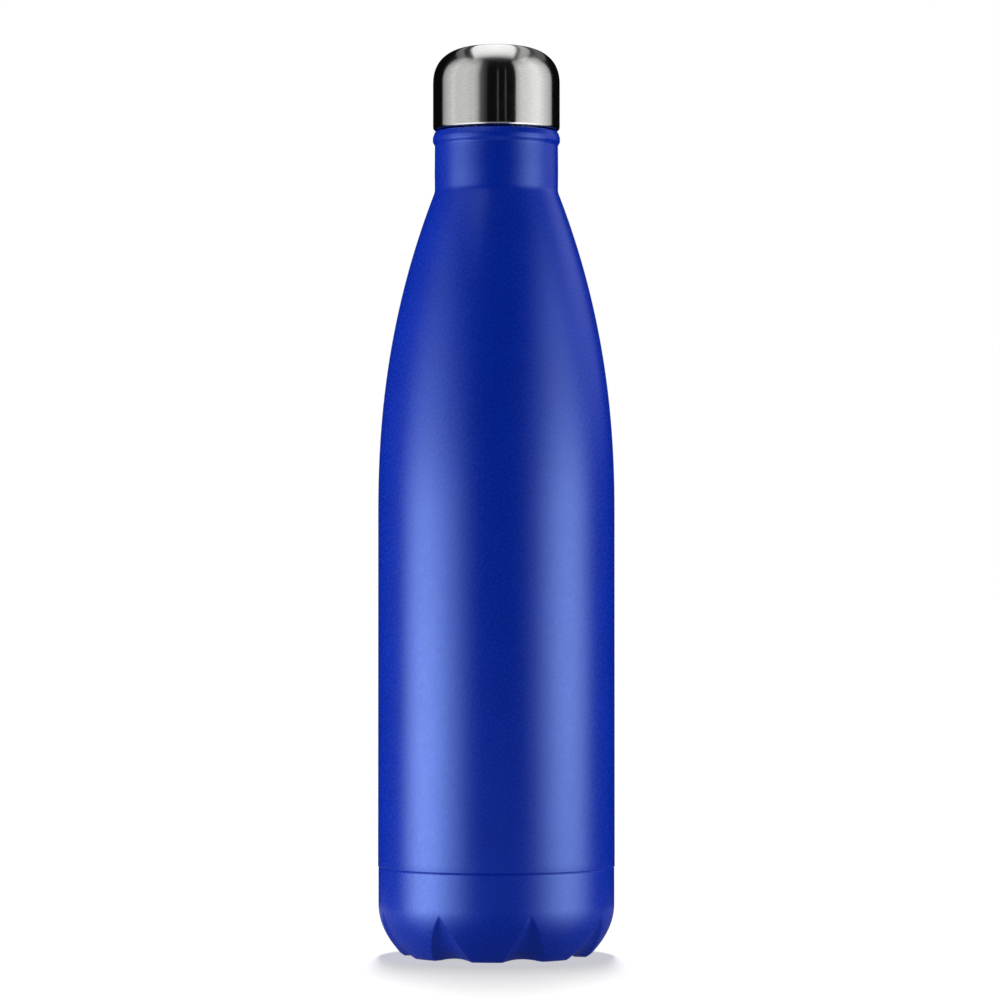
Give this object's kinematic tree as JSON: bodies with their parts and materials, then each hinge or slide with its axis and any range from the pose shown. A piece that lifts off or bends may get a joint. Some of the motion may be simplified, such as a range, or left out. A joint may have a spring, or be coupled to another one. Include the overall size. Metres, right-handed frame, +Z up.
{
  "type": "insulated water bottle",
  "caption": "Slim vacuum-insulated steel drinking bottle with a long tapered shoulder, lobed base cup and domed brushed-steel screw cap.",
  "frame": {"origin": "on the bottle's axis, in the plane of the feet that it stands on", "axes": "+Z up along the bottle's axis; -Y is the side that faces the viewer in the reference view; +X to that viewer's right"},
  "size_m": [0.0804, 0.0804, 0.3094],
  "materials": {
    "blue_powder_coat": "satin",
    "brushed_cap_steel": "satin",
    "bare_steel": "satin",
    "plug_plastic": "satin",
    "silicone": "matte",
    "expanded_foam": "matte",
    "glass_solder": "gloss",
    "getter_alloy": "matte"
  },
  "bodies": {
    "bottle": {"outer_shell": "blue_powder_coat", "base_cup": "blue_powder_coat", "outer_bottom": "bare_steel", "vacuum_seal": "glass_solder", "getter": "getter_alloy", "getter_clip": "bare_steel", "inner_liner": "bare_steel", "inner_bottom": "bare_steel"},
    "seal": {"lip_gasket": "silicone"},
    "cap": {"cap_shell": "brushed_cap_steel", "plug_core": "plug_plastic", "plug_end_cap": "plug_plastic", "cap_insulation": "expanded_foam"}
  },
  "joints": [
    {"name": "cap_rise", "type": "slide", "parent": "bottle", "child": "seal", "axis": [0, 0, 1], "range_m": [0, 0.03]},
    {"name": "cap_turn", "type": "hinge", "parent": "seal", "child": "cap", "pos_m": [0, 0, 0.284], "axis": [0, 0, 1], "range_deg": [0, 1800]}
  ],
  "couplings": [
    {"joint": "cap_rise", "follows": "cap_turn", "m_per_rad": 0.00095493}
  ]
}
